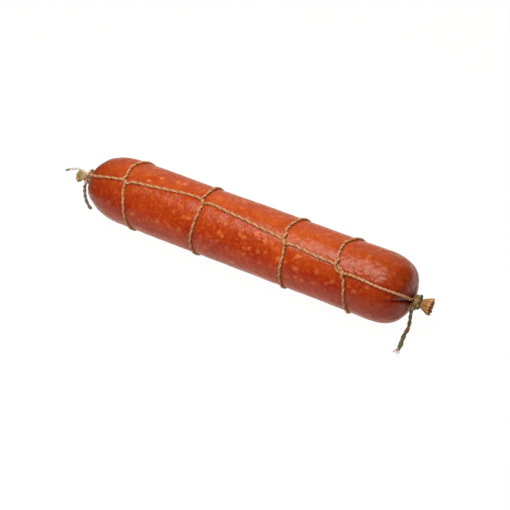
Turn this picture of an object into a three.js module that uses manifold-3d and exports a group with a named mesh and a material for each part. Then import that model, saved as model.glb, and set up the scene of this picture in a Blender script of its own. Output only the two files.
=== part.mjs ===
// A string-tied cured sausage, lying on its side. Millimetres, +Z up, +X along the sausage.
//
// Four pieces: the sausage itself, whose casing is gathered into a neck and a short dry tuft at each
// end; the twine net that is tied round it; and the two free ends of that twine, one at each neck,
// which hang down and lie on whatever the sausage lies on.
//
// Everything is worked out in the sausage's own frame, with its axis on y = z = 0 and its middle at
// x = 0, and is moved at the end so that the origin is under the middle of the bounding box.

import * as THREE from "three";
import { mergeVertices } from "three/addons/utils/BufferGeometryUtils.js";
import Module from "manifold-3d";

const wasm = await Module();
wasm.setup();

// ---- driving dimensions ----

const RADIUS = 30; // a 60 mm casing
const HALF = 158.3; // middle to where each rounded end meets its neck
const AXIS_HEIGHT = 29.2; // the soft body settles on a flat strip about 14 mm wide

// Each rounded end is a superellipse: its length, its exponent (2 is an ellipse, more is blunter), and
// how much thicker (+) or thinner (-) the body gets towards it.
const END = {
  left: { cap: 41.7, power: 2.3, swell: -0.009 },
  right: { cap: 36.9, power: 2.8, swell: 0.026 },
};
const SWELL_SHARE = 0.25; // the last quarter of the length takes up the swell

const NECK_RADIUS = 4.2; // the gathered casing under the ties
const NECK_END = 167.2; // middle to the end of the neck
const TUFT = {
  left: { end: 176.6, flare: 6.5, dish: 2.0, folds: 7, depth: 0.16 },
  right: { end: 175.8, flare: 8.0, dish: 2.5, folds: 8, depth: 0.14 },
};
const PLEATS = 10; // gathers that run from the rounded end into the neck
const PLEAT_DEPTH = 0.07; // their share of the radius at the neck
const PLEAT_REACH = 17; // they fade out at this radius

const TWINE = 2.2; // diameter of the two-ply twine
const TWINE_R = TWINE / 2;
const STAND = 0.5; // how far the twine's centre line stands off the undented casing
const GAP = 0.45; // clear distance kept between touching pieces
const DENT = TWINE_R + GAP - STAND; // how deep the twine presses the casing in
const GROUND_EASE = 0.4; // and how much deeper where a ring turns onto the ground

// The four rings. Station along the body, then how the ring wanders along it with the angle a round
// the body: lean * cos a, tip * sin a, and the twice-round parts, from the hitches pulling it about.
const RINGS = [
  { at: -108.9, wander: [0.6, -3.8, 2.1, -0.3] },
  { at: -37.8, wander: [0.3, 0.0, -0.4, 0.8] },
  { at: 48.3, wander: [-0.7, -1.1, 2.3, 0.5] },
  { at: 103.6, wander: [1.9, -5.2, 4.5, -0.9] },
];

// The lengthways runs: [station, angle in degrees]. Angle 0 faces -Y, 90 is the top, 180 faces +Y.
const FRONT_RUN = [
  [-158, 51],
  [-109, 60.8],
  [-38, 76],
  [47, 58.3],
  [100, 47.5],
  [158, 37],
];
const BACK_RUN = [
  [-158, 222],
  [-109, 226],
  [-38, 229],
  [47, 224],
  [100, 228],
  [158, 219],
];

// Each tie is three turns of twine round the neck.
const TIE_TURNS = [160.9, 163.0, 165.1];
const TIE_RADIUS = NECK_RADIUS + GAP + TWINE_R + 0.05;

// The short stub of twine left at the left-hand knot, and the two free ends. In the sausage's frame.
const STUB = [
  [-163.5, -2.4, 5.6],
  [-167.5, -3.6, 8.2],
  [-172.5, -5.0, 9.9],
  [-179.5, -6.2, 7.6],
  [-185.6, -7.0, 4.4],
];
const FLOOR = -AXIS_HEIGHT + TWINE_R + 0.02; // a twine's centre line where it lies on the ground
const TAIL_RIGHT = [
  [160.5, -7.4, -6.0],
  [160.4, -7.8, -12.0],
  [160.2, -7.7, -19.0],
  [160.0, -7.9, -24.2],
  [159.9, -9.5, -27.3],
  [159.8, -12.6, FLOOR],
  [160.4, -18.9, FLOOR],
  [161.5, -25.0, FLOOR],
  [162.6, -31.0, FLOOR],
  [162.4, -38.0, FLOOR],
];
const TAIL_LEFT = [
  [-163.0, -8.0, -1.2],
  [-164.6, -8.0, -5.5],
  [-165.6, -7.6, -11.0],
  [-166.0, -7.3, -16.5],
  [-165.6, -7.1, -21.8],
  [-163.9, -7.3, -26.0],
  [-161.6, -8.1, FLOOR],
  [-159.0, -9.2, FLOOR],
];

const AROUND = 36; // facets round the body
const SIDES = 6; // facets round the net's twine
const TAIL_SIDES = 8;

// ---- the undented casing ----

const rad = THREE.MathUtils.degToRad;
const side = (s) => (s < 0 ? "left" : "right");

// piecewise-linear look-up in a table of [key, value] rows
function table(rows, key) {
  if (key <= rows[0][0]) return rows[0][1];
  for (let i = 1; i < rows.length; i++) {
    const [k0, v0] = rows[i - 1];
    const [k1, v1] = rows[i];
    if (key <= k1) return v0 + ((v1 - v0) * (key - k0)) / (k1 - k0);
  }
  return rows[rows.length - 1][1];
}

// smooth look-up: a Catmull-Rom curve through the same kind of table
function smoothTable(rows, key) {
  const n = rows.length;
  if (key <= rows[0][0]) return rows[0][1];
  if (key >= rows[n - 1][0]) return rows[n - 1][1];
  let i = 1;
  while (rows[i][0] < key) i++;
  const [x0, y0] = rows[i - 1];
  const [x1, y1] = rows[i];
  const slope = (j) => {
    const a = rows[Math.max(j - 1, 0)];
    const b = rows[Math.min(j + 1, n - 1)];
    return (b[1] - a[1]) / (b[0] - a[0]);
  };
  const h = x1 - x0;
  const u = (key - x0) / h;
  return (
    (2 * u ** 3 - 3 * u ** 2 + 1) * y0 +
    (u ** 3 - 2 * u ** 2 + u) * h * slope(i - 1) +
    (-2 * u ** 3 + 3 * u ** 2) * y1 +
    (u ** 3 - u ** 2) * h * slope(i)
  );
}

// radius of the body and necks at station s, before pleats and dents
function radiusAt(s) {
  const { cap, power, swell } = END[side(s)];
  const d = Math.abs(s);
  let r = RADIUS;
  if (d >= HALF) r = 0;
  else if (d > HALF - cap)
    r = RADIUS * (1 - ((d - HALF + cap) / cap) ** power) ** (1 / power);
  const towardsEnd = Math.max(0, 1 - (1 - d / HALF) / (2 * SWELL_SHARE));
  r *= 1 + swell * Math.min(towardsEnd, 1) ** 2;
  return (r ** 3 + NECK_RADIUS ** 3) ** (1 / 3);
}

// outward normal of that profile, as [along the axis, away from the axis]
function profileNormal(s) {
  const e = 0.05;
  const slope = (radiusAt(s + e) - radiusAt(s - e)) / (2 * e);
  const n = Math.hypot(slope, 1);
  return [-slope / n, 1 / n];
}

// how far the lines round the body wander along it at station s and angle a
function wander(s, a) {
  let sum = 0;
  const round = [Math.cos(a), Math.sin(a), Math.cos(2 * a), Math.sin(2 * a)];
  for (let i = 0; i < 4; i++) {
    const rows = [
      [-HALF + 6, 0],
      ...RINGS.map((ring) => [ring.at, ring.wander[i]]),
      [HALF - 6, 0],
    ];
    sum += table(rows, s) * round[i];
  }
  return sum;
}

// a point at station s and angle a, `out` off the undented casing and never under the ground
function onCasing(s, a, out, lowest = -AXIS_HEIGHT) {
  const [along, away] = profileNormal(s);
  const r = radiusAt(s) + out * away;
  return new THREE.Vector3(
    s + wander(s, a) + out * along,
    -r * Math.cos(a),
    Math.max(r * Math.sin(a), lowest),
  );
}

// ---- the sausage: a lathe whose vertices are then moved by the functions above ----

function tuftProfile(which) {
  const { end, flare, dish } = TUFT[which];
  const long = end - NECK_END;
  // [station, radius] from the neck out to the rim and down into the dished end
  return [
    [NECK_END + 0.3 * long, NECK_RADIUS + 0.32 * (flare - NECK_RADIUS)],
    [NECK_END + 0.65 * long, NECK_RADIUS + 0.8 * (flare - NECK_RADIUS)],
    [NECK_END + 0.95 * long, flare],
    [end, flare * 0.92],
    [end - 0.6 * dish, flare * 0.5],
    [end - dish, 0],
  ];
}

function bodyStations() {
  const list = [];
  for (const which of ["left", "right"]) {
    const { cap, power } = END[which];
    const sign = which === "left" ? -1 : 1;
    const steps = 9;
    for (let i = 0; i < steps; i++) {
      const t = (Math.PI / 2) * (i / steps);
      list.push(sign * (HALF - cap + cap * Math.sin(t) ** (2 / power)));
    }
    list.push(sign * (HALF - 0.15), sign * (HALF + 1.0), sign * NECK_END);
  }
  for (const { at } of RINGS)
    for (const d of [-6, -2.2, 0, 2.2, 6]) list.push(at + d);
  for (const s of [-91, -73, -56, -20, -2, 14, 30, 64, 76, 88]) list.push(s);
  return list
    .sort((a, b) => a - b)
    .filter((s, i, all) => !i || s - all[i - 1] > 0.6);
}

// The columns of the lathe bend so that one follows each lengthways run. [column angle, extra columns]
const FRONT_COLUMN = 60;
const BACK_COLUMN = 225;

function columnAngles() {
  const list = [];
  const extra = 4;
  const base = AROUND - 2 * extra;
  for (let i = 0; i < base; i++) list.push((360 * i) / base);
  for (const at of [FRONT_COLUMN, BACK_COLUMN]) {
    for (const d of [-9, -4.5, 0, 4.5, 9]) {
      const a = at + d;
      const near = list.findIndex((b) => Math.abs(b - a) < 3);
      if (near >= 0) list[near] = a;
      else list.push(a);
    }
  }
  // the strip that the body lies on
  for (const a of [263, 277]) {
    const near = list.findIndex((b) => Math.abs(b - a) < 5);
    if (near >= 0) list[near] = a;
    else list.push(a);
  }
  return list.sort((a, b) => a - b);
}

// the angle that column c has at station s
function columnAt(s, c) {
  const key = Math.max(-HALF, Math.min(HALF, s));
  return table(
    [
      [0, 0],
      [FRONT_COLUMN, smoothTable(FRONT_RUN, key)],
      [135, 135],
      [BACK_COLUMN, smoothTable(BACK_RUN, key)],
      [256, 258],
      [270, 270],
      [360, 360],
    ],
    c,
  );
}

// how strongly the twine's dent acts at a distance from its centre line, 0 to 1
const groove = (d) =>
  table(
    [
      [0, 1],
      [2.2, 0.6],
      [6, 0],
    ],
    Math.abs(d),
  );

function dentAt(s, c, a) {
  if (Math.abs(s) > HALF) return 0;
  const r = radiusAt(s);
  let dent = 0;
  for (const ring of RINGS) {
    const share = groove(s - ring.at);
    if (!share) continue;
    // under the body the ring lies flat on the ground, so there the casing gives way to all of it
    const lowest = Math.max(r * Math.sin(a) + STAND * Math.sin(a), FLOOR);
    const lift = Math.max(0, lowest - (r + STAND) * Math.sin(a));
    const under = Math.sin(a) < -0.85 ? GROUND_EASE : 0;
    dent = Math.max(dent, share * (DENT + lift + under));
  }
  const arc = (x) => (Math.abs(c - x) * Math.PI * Math.max(r, 8)) / 180;
  for (const at of [FRONT_COLUMN, BACK_COLUMN])
    dent = Math.max(dent, groove(arc(at)) * DENT);
  return dent;
}

function sausage() {
  const left = tuftProfile("left").map(([s, r]) => [-s, r]);
  const right = tuftProfile("right");
  const body = bodyStations().map((s) => [s, null]);
  const profile = [...left.reverse(), ...body, ...right];
  const columns = columnAngles();
  const n = profile.length;
  const lathe = new THREE.LatheGeometry(
    profile.map(([s, r]) => new THREE.Vector2(r ?? radiusAt(s), s)),
    columns.length,
  );
  const position = lathe.getAttribute("position");
  for (let i = 0; i <= columns.length; i++) {
    const c = columns[i % columns.length];
    for (let j = 0; j < n; j++) {
      const [s, r] = profile[j];
      const v = new THREE.Vector3();
      if (r !== null) {
        // tuft: folds that deepen towards its rim
        const { folds, depth, flare } = TUFT[side(s)];
        const a = rad(c);
        const fold = 1 + depth * (r / flare) * Math.cos(folds * a + 0.7);
        v.set(s, -r * fold * Math.cos(a), r * fold * Math.sin(a));
      } else {
        const a = rad(columnAt(s, c));
        v.copy(onCasing(s, a, -dentAt(s, c, a)));
        const here = Math.hypot(v.y, v.z);
        const reach = Math.max(0, 1 - here / PLEAT_REACH);
        const pleat =
          Math.abs(s) < HALF + 0.5
            ? 1 - PLEAT_DEPTH * reach * (1 - Math.cos(PLEATS * a))
            : 1;
        v.y *= pleat;
        v.z *= pleat;
      }
      position.setXYZ(i * n + j, v.x, v.y, v.z);
    }
  }
  return lathe;
}

// ---- the twine ----

const section = (sides) =>
  new THREE.Shape(
    Array.from({ length: sides }, (_, i) => {
      const a = (2 * Math.PI * i) / sides;
      return new THREE.Vector2(TWINE_R * Math.cos(a), TWINE_R * Math.sin(a));
    }),
  );

// twine flattens where it bears on the ground
function settled(geometry) {
  const position = geometry.getAttribute("position");
  for (let i = 0; i < position.count; i++)
    position.setZ(i, Math.max(position.getZ(i), -AXIS_HEIGHT));
  return geometry;
}

// a length of twine with two ends, along points
function strand(points, step, sides = SIDES) {
  const path = new THREE.CatmullRomCurve3(
    points.map((p) => (p.isVector3 ? p : new THREE.Vector3(...p))),
    false,
    "centripetal",
  );
  return settled(
    new THREE.ExtrudeGeometry(section(sides), {
      steps: Math.max(3, Math.round(path.getLength() / step)),
      extrudePath: path,
    }),
  );
}

function ring({ at }) {
  const points = [];
  for (let i = 0; i < 48; i++)
    points.push(onCasing(at, (2 * Math.PI * i) / 48, STAND, FLOOR));
  const path = new THREE.CatmullRomCurve3(points, true, "centripetal");
  return settled(new THREE.TubeGeometry(path, 34, TWINE_R, SIDES, true));
}

// one lengthways run, from tie to tie over both rounded ends
function run(rows) {
  const points = [];
  const steps = 46;
  for (let i = 0; i <= steps; i++) {
    // stations bunch up towards the ends, where the casing turns in
    const s = (HALF - 0.9) * Math.sin((Math.PI / 2) * ((2 * i) / steps - 1));
    if (radiusAt(s) < 11.5) continue;
    points.push(onCasing(s, rad(smoothTable(rows, s)), STAND));
  }
  for (const sign of [-1, 1]) {
    const a = rad(smoothTable(rows, sign * HALF));
    const onto = [
      [HALF + 1.6, 8.4],
      [TIE_TURNS[0] + 0.2, TIE_RADIUS + 0.2],
    ].map(([s, r]) => new THREE.Vector3(sign * s, -r * Math.cos(a), r * Math.sin(a)));
    if (sign < 0) points.unshift(...onto.reverse());
    else points.push(...onto);
  }
  return strand(points, 6.2);
}

function tieTurn(station, lean) {
  const g = new THREE.TorusGeometry(TIE_RADIUS, TWINE_R + 0.05, SIDES, 12);
  g.rotateY(Math.PI / 2);
  g.rotateZ(rad(lean));
  g.translate(station, 0, 0);
  return g;
}

// ---- booleans ----

function toSolid(geometry) {
  const bare = geometry.index ? geometry.toNonIndexed() : geometry.clone();
  for (const name of Object.keys(bare.attributes))
    if (name !== "position") bare.deleteAttribute(name);
  const merged = mergeVertices(bare, 1e-4);
  const index = merged.index.array;
  const triVerts = [];
  for (let i = 0; i < index.length; i += 3) {
    const [a, b, c] = [index[i], index[i + 1], index[i + 2]];
    if (a !== b && b !== c && a !== c) triVerts.push(a, b, c);
  }
  const make = (tris) =>
    new wasm.Manifold(
      new wasm.Mesh({
        numProp: 3,
        vertProperties: merged.getAttribute("position").array,
        triVerts: new Uint32Array(tris),
      }),
    );
  const solid = make(triVerts);
  if (solid.volume() > 0) return solid;
  for (let i = 0; i < triVerts.length; i += 3)
    [triVerts[i + 1], triVerts[i + 2]] = [triVerts[i + 2], triVerts[i + 1]];
  return make(triVerts);
}

function toGeometry(solid) {
  const mesh = solid.getMesh();
  const count = mesh.numProp;
  const positions = [];
  for (let i = 0; i < mesh.vertProperties.length; i += count)
    positions.push(...mesh.vertProperties.slice(i, i + 3));
  const geometry = new THREE.BufferGeometry();
  geometry.setAttribute("position", new THREE.Float32BufferAttribute(positions, 3));
  geometry.setIndex(Array.from(mesh.triVerts));
  return geometry;
}

function twineNet() {
  const pieces = [
    ...RINGS.map(ring),
    run(FRONT_RUN),
    run(BACK_RUN),
    strand(STUB, 4),
  ];
  for (const sign of [-1, 1])
    TIE_TURNS.forEach((at, i) => pieces.push(tieTurn(sign * at, (i - 1) * 3 * sign)));
  return toGeometry(pieces.map(toSolid).reduce((a, b) => a.add(b)));
}

// ---- the model ----

const casing = new THREE.MeshStandardMaterial({ color: 0xb3441c, roughness: 0.38, metalness: 0 });
const twine = new THREE.MeshStandardMaterial({ color: 0x9a9466, roughness: 0.9, metalness: 0 });

const model = new THREE.Group();
function piece(name, geometry, material) {
  const mesh = new THREE.Mesh(geometry, material);
  mesh.name = name;
  model.add(mesh);
}

piece("sausage", toGeometry(toSolid(sausage())), casing);
piece("twine_net", twineNet(), twine);
piece("tail_right", strand(TAIL_RIGHT, 4.4, TAIL_SIDES), twine);
piece("tail_left", strand(TAIL_LEFT, 4.4, TAIL_SIDES), twine);

// The stub reaches past the left-hand tuft, so the box's middle is a little to the left of the body's.
const BOX_MIDDLE_X = (TUFT.right.end - 186.4) / 2;
model.position.set(-BOX_MIDDLE_X, 0, AXIS_HEIGHT);

export default model;
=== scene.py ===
"""A string-tied cured sausage on a plain white floor.

Lengths are worked out in millimetres in the sausage's own frame (its axis on y = z = 0, its middle at x = 0)
and are turned into metres in the row frame when each mesh is made.
Angle a round the body: 0 faces -Y, 90 is the top, 180 faces +Y.
"""

import math

import bpy
import numpy as np
from mathutils import Matrix, Vector
from mathutils.kdtree import KDTree


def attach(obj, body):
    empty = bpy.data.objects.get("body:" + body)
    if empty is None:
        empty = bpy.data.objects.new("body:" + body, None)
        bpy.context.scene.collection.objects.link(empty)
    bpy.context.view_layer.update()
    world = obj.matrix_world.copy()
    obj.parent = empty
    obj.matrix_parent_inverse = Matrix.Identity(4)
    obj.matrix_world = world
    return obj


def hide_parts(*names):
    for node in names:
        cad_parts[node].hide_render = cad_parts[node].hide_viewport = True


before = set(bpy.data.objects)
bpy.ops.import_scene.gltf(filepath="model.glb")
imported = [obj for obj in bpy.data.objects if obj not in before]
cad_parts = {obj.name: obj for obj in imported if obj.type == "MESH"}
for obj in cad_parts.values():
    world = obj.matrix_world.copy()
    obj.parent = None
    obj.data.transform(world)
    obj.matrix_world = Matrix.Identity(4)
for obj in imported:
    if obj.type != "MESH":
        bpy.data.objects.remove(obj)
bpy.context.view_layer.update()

SHIFT = np.array([5.3, 0.0, 29.2])  # sausage's own frame to the row frame


def row(points):
    """own frame, mm, to row frame, m"""
    return (np.asarray(points, float) + SHIFT) / 1000.0


# ---------------------------------------------------------------- camera
AZ, EL = math.radians(29.786), math.radians(41.197)
BACK = Vector((math.sin(AZ) * math.cos(EL), -math.cos(AZ) * math.cos(EL), math.sin(EL)))
RIGHT = Vector((math.cos(AZ), math.sin(AZ), 0.0))
UP = BACK.cross(RIGHT)
CENTRE = Vector((0.0053, 0.0, 0.0292))

cam_data = bpy.data.cameras.new("camera")
cam_data.lens = 93.08
cam_data.sensor_width = 36.0
cam_data.clip_start = 0.02
cam_data.clip_end = 60.0
camera = bpy.data.objects.new("camera", cam_data)
bpy.context.scene.collection.objects.link(camera)
spin = Matrix((RIGHT, UP, BACK)).transposed().to_4x4()
camera.matrix_world = Matrix.Translation(CENTRE + BACK * 1.138 + RIGHT * 0.00775 - UP * 0.0171) @ spin
bpy.context.scene.camera = camera

# ---------------------------------------------------------------- named sizes, as in the CAD
RADIUS = 30.0
HALF = 158.3
AXIS_HEIGHT = 29.2
CAP = {-1: (41.7, 2.3, -0.009), 1: (36.9, 2.8, 0.026)}  # length, power, swell
NECK_RADIUS = 3.8
NECK_END = 167.2
TWINE_R = 1.1
FLOOR = -AXIS_HEIGHT + TWINE_R + 0.02
GROUND = -AXIS_HEIGHT + 0.02
TIE_R = 4.95

TAIL_RIGHT = [
    (160.5, -7.4, -6.0),
    (160.4, -7.8, -12.0),
    (160.2, -7.7, -19.0),
    (160.0, -7.9, -24.2),
    (159.9, -9.5, -27.3),
    (159.8, -12.6, FLOOR),
    (160.4, -18.9, FLOOR),
    (161.5, -25.0, FLOOR),
    (162.6, -31.0, FLOOR),
    (162.4, -38.0, FLOOR),
]
TAIL_LEFT = [
    (-163.0, -8.0, -1.2),
    (-164.6, -8.0, -5.5),
    (-165.6, -7.6, -11.0),
    (-166.0, -7.3, -16.5),
    (-165.6, -7.1, -21.8),
    (-163.9, -7.3, -26.0),
    (-161.6, -8.1, FLOOR),
    (-159.0, -9.2, FLOOR),
]
STUB = [
    (-163.5, -2.4, 5.9),
    (-167.5, -3.6, 8.2),
    (-172.5, -5.0, 9.9),
    (-179.5, -6.2, 7.6),
    (-185.6, -7.0, 4.4),
]

# The lengthways run that shows: station and angle
RUN = [
    (-158, 51.5), (-152, 51), (-145.7, 50.9), (-139, 52.6), (-131, 55), (-124, 57.2), (-113, 60.6), (-100, 62.9),
    (-86, 66.2), (-72.6, 69.7), (-58.7, 74), (-50, 76), (-44, 76.3), (-37.7, 75), (-32, 73.9), (-20, 71.8),
    (-6.4, 69.3), (7.8, 66.9), (21, 63.8), (34, 61.8), (46.5, 58.3), (61, 55.3), (75, 52.4), (84, 51.6),
    (90, 51.3), (95.5, 50.6), (101, 46.8), (104, 45.0), (109.8, 43.7), (122.8, 42), (134.6, 40.6), (146, 40),
    (152, 39.6), (158, 37),
]
BACK_RUN = [(-158, 222), (-109, 226), (-38, 229), (47, 224), (100, 228), (158, 219)]

# The rings: where each meets the run, and its station at each angle, downwards from there round to it again
RINGS = [
    {"node": (-112.9, 61), "span": 2.6, "bulge": -2.5, "way": [
        (61, -112.3), (50.6, -112.0), (41, -110.9), (27, -108.7), (13, -107.3), (0, -106.4), (-14, -105.8), (-25, -105.1),
        (-43, -104.6), (-90, -105.4), (-180, -108.2), (-227, -110.6), (-245, -113.1), (-261, -115.2), (-274.5, -115.7),
        (-288, -114.9), (-299, -113.5)]},
    {"node": (-37.1, 75), "span": 2.5, "bulge": -2.4, "way": [
        (75, -36.2), (59, -36.3), (49, -36.1), (38, -36.7), (28, -37.0), (15, -37.7), (1, -38.3), (-15, -38.4), (-34, -38.1),
        (-90, -37.3), (-180, -38.2), (-240, -38.3), (-255, -38.1), (-266.5, -38.2), (-279, -37.6), (-285, -37.9)]},
    {"node": (46.7, 58.4), "span": 2.7, "bulge": -2.6, "way": [
        (58.4, 47.7), (48, 48.4), (36, 49.6), (24, 49.3), (10, 49.3), (-6.5, 49.2), (-23, 49.5), (-90, 48.8), (-180, 49.9),
        (-236, 47.0), (-249, 46.2), (-266, 44.6), (-278, 43.3), (-288, 44.0), (-301.6, 45.9)]},
    {"node": (100.2, 47.6), "span": 8.0, "bulge": -2.9, "way": [
        (47.6, 104.3), (33, 105.9), (18, 108.1), (0, 109.4), (-16, 110.2), (-34, 110.9), (-90, 107.4), (-180, 102.6),
        (-244.3, 96.8), (-256, 95.0), (-264, 93.7), (-280, 93.5), (-297, 94.7), (-304.3, 95.9), (-312.4, 96.4)]},
]

# ---------------------------------------------------------------- small maths


def hermite(rows):
    """a smooth curve through [key, value] rows, keys rising"""
    xs = np.array([r[0] for r in rows], float)
    ys = np.array([r[1] for r in rows], float)
    m = np.empty(len(xs))
    m[1:-1] = (ys[2:] - ys[:-2]) / (xs[2:] - xs[:-2])
    m[0] = (ys[1] - ys[0]) / (xs[1] - xs[0])
    m[-1] = (ys[-1] - ys[-2]) / (xs[-1] - xs[-2])

    def f(x):
        x = np.clip(x, xs[0], xs[-1])
        i = np.clip(np.searchsorted(xs, x, side="right") - 1, 0, len(xs) - 2)
        h = xs[i + 1] - xs[i]
        u = (x - xs[i]) / h
        return (
            (2 * u**3 - 3 * u**2 + 1) * ys[i]
            + (u**3 - 2 * u**2 + u) * h * m[i]
            + (-2 * u**3 + 3 * u**2) * ys[i + 1]
            + (u**3 - u**2) * h * m[i + 1]
        )

    return f


def smooth(lo, hi, x):
    t = np.clip((np.asarray(x, float) - lo) / (hi - lo), 0, 1)
    return t * t * (3 - 2 * t)


def noise3(p, seed=0):
    """gradient noise, about -1 to 1, the same on every run"""
    p = np.asarray(p, float)
    i = np.floor(p).astype(np.int64)
    f = p - i
    u = f * f * f * (f * (f * 6 - 15) + 10)
    out = np.zeros(p.shape[:-1])
    mask = np.uint64(0xFFFFFFFF)
    for dx in (0, 1):
        for dy in (0, 1):
            for dz in (0, 1):
                c = (i + np.array([dx, dy, dz]) + 4096).astype(np.uint64)
                h = (c[..., 0] * np.uint64(374761393) + c[..., 1] * np.uint64(668265263)
                     + c[..., 2] * np.uint64(2246822519) + np.uint64(seed * 3266489917 % 4294967296)) & mask
                h = ((h ^ (h >> np.uint64(13))) * np.uint64(1274126177)) & mask
                h = h ^ (h >> np.uint64(16))
                g = [((h >> np.uint64(s)) & np.uint64(1023)).astype(float) / 511.5 - 1 for s in (0, 10, 20)]
                d = g[0] * (f[..., 0] - dx) + g[1] * (f[..., 1] - dy) + g[2] * (f[..., 2] - dz)
                w = ((u[..., 0] if dx else 1 - u[..., 0]) * (u[..., 1] if dy else 1 - u[..., 1])
                     * (u[..., 2] if dz else 1 - u[..., 2]))
                out += w * d
    return out * 1.5


# ---------------------------------------------------------------- the casing's shape


def radius_at(s):
    """radius of body and necks at station s, before anything presses on it"""
    s = np.asarray(s, float)
    d = np.abs(s)
    out = np.zeros_like(d)
    for sign, (cap, power, swell) in CAP.items():
        here = (s < 0) if sign < 0 else (s >= 0)
        t = np.clip((d - HALF + cap) / cap, 0, 1)
        r = RADIUS * (1 - t**power) ** (1 / power)
        toward = np.clip(1 - (1 - d / HALF) / 0.5, 0, 1)
        out = np.where(here, r * (1 + swell * toward**2), out)
    out = np.where(d >= HALF, 0, out)
    return (out**3 + NECK_RADIUS**3) ** (1 / 3)


def profile_normal(s):
    e = 0.05
    slope = (radius_at(s + e) - radius_at(s - e)) / (2 * e)
    n = np.hypot(slope, 1)
    return -slope / n, 1 / n


def uneven(s, a):
    """slow unevenness of the filling, mm"""
    r = radius_at(s)
    p = np.stack([s, -r * np.cos(a), r * np.sin(a)], -1)
    fade = smooth(156, 140, np.abs(s))
    return fade * (0.5 * noise3(p / [60, 34, 34], 3) + 0.22 * noise3(p / [23, 16, 16], 5))


def droop(s):
    """how far the right-hand neck sits off the body's axis, in y and z"""
    k = smooth(155.5, 160.5, s)
    return -1.3 * k, -2.2 * k


def on_casing(s, a, out=0.0, lowest=-AXIS_HEIGHT):
    """a point at station s and angle a (radians), `out` off the casing, never under the ground"""
    s, a = np.asarray(s, float), np.asarray(a, float)
    along, away = profile_normal(s)
    lift = out + uneven(s, a)
    r = radius_at(s) + lift * away
    dy, dz = droop(s)
    return np.stack([s + lift * along, dy - r * np.cos(a), np.maximum(dz + r * np.sin(a), lowest)], -1)


run_angle = hermite(RUN)
back_angle = hermite(BACK_RUN)

# ---------------------------------------------------------------- the twine's route
H0 = 0.66  # its centre line above the casing
SINK = 0.34  # how much lower it runs in the rings, which are drawn tight


def spread(points, step):
    """a smooth curve through the points, in equal steps"""
    p = np.asarray(points, float)
    keep = np.r_[True, np.linalg.norm(np.diff(p, axis=0), axis=1) > 1e-4]
    p = p[keep]
    p = np.vstack([2 * p[0] - p[1], p, 2 * p[-1] - p[-2]])
    out = []
    for i in range(1, len(p) - 2):
        p0, p1, p2, p3 = p[i - 1 : i + 3]
        t0 = 0.0
        t1 = t0 + np.linalg.norm(p1 - p0) ** 0.5
        t2 = t1 + np.linalg.norm(p2 - p1) ** 0.5
        t3 = t2 + np.linalg.norm(p3 - p2) ** 0.5
        t = np.linspace(t1, t2, 12, endpoint=False)[:, None]
        a1 = (t1 - t) / (t1 - t0) * p0 + (t - t0) / (t1 - t0) * p1
        a2 = (t2 - t) / (t2 - t1) * p1 + (t - t1) / (t2 - t1) * p2
        a3 = (t3 - t) / (t3 - t2) * p2 + (t - t2) / (t3 - t2) * p3
        b1 = (t2 - t) / (t2 - t0) * a1 + (t - t0) / (t2 - t0) * a2
        b2 = (t3 - t) / (t3 - t1) * a2 + (t - t1) / (t3 - t1) * a3
        out.append((t2 - t) / (t2 - t1) * b1 + (t - t1) / (t2 - t1) * b2)
    fine = np.vstack([*out, p[-2][None]])
    length = np.r_[0, np.cumsum(np.linalg.norm(np.diff(fine, axis=0), axis=1))]
    n = max(2, int(round(length[-1] / step)))
    at = np.linspace(0, length[-1], n + 1)
    return np.stack([np.interp(at, length, fine[:, k]) for k in range(3)], -1)


def neck_turns(s0, a0, s1, a1, r0, r1, step=20):
    n = max(2, int(abs(a1 - a0) / step))
    t = np.linspace(0, 1, n + 1)
    s, a, r = s0 + (s1 - s0) * t, np.radians(a0 + (a1 - a0) * t), r0 + (r1 - r0) * t
    dy, dz = droop(s)
    return [tuple(v) for v in np.stack([s, dy - r * np.cos(a), dz + r * np.sin(a)], -1)]


def casing_points(rows):
    """rows of (station, degrees, height) to points"""
    rows = np.array(rows, float)
    return [tuple(v) for v in on_casing(rows[:, 0], np.radians(rows[:, 1]), rows[:, 2], FLOOR)]


def ring_rows(ring):
    """the twine's way at one ring: along the run to it, over, round the body, and back through itself"""
    (s0, _), half, bulge = ring["node"], ring["span"] / 2, ring["bulge"]
    ring_station = hermite([(-k, v) for k, v in ring["way"]])
    start, end = ring["way"][0][0], ring["way"][-1][0]

    def local(u, w, h):
        s = s0 + u
        r = float(radius_at(s))
        return (s, float(run_angle(s)) + math.degrees(w / r), H0 + h)

    rows = [local(-half, 0, 0), local(half - 1.2, -0.4, 0.5), local(half - 0.2, -1.5, 1.55), local(half + 0.3, -3.1, 1.3),
            local(half + 0.35, -5.2, 0.3)]
    first = start - math.degrees(8.2 / RADIUS)
    last = end + math.degrees(8.2 / RADIUS)
    n = int((first - last) / 6)
    for i in range(n + 1):
        a = first + (last - first) * i / n
        rows.append((float(ring_station(-a)), a, H0 - SINK))
    turn = 360  # the way back arrives one turn on
    back = [local(-half, 5.2, 0.1), local(-half, 2.8, 0.6), local(-half, 1.2, 1.5), local(-half + 0.1, 0, 2.05),
            local(-half + 0.5, 0.55 * bulge, 1.25), local(-half + 1.4, 0.95 * bulge, 0.25), local(0, bulge, 0),
            local(half * 0.8, 0.9 * bulge if half > 3 else bulge, 0)]
    if half > 3:
        back.append(local(half + 0.4, -2.0, 0.0))
        back.append(local(half + 2.4, -0.9, 0.0))
    else:
        back.append(local(half + 2.2, -2.0, 0))
    back.append(local(half + 5, -0.7, 0))
    rows += [(s, a - turn, h) for s, a, h in back]
    return rows, half


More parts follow.
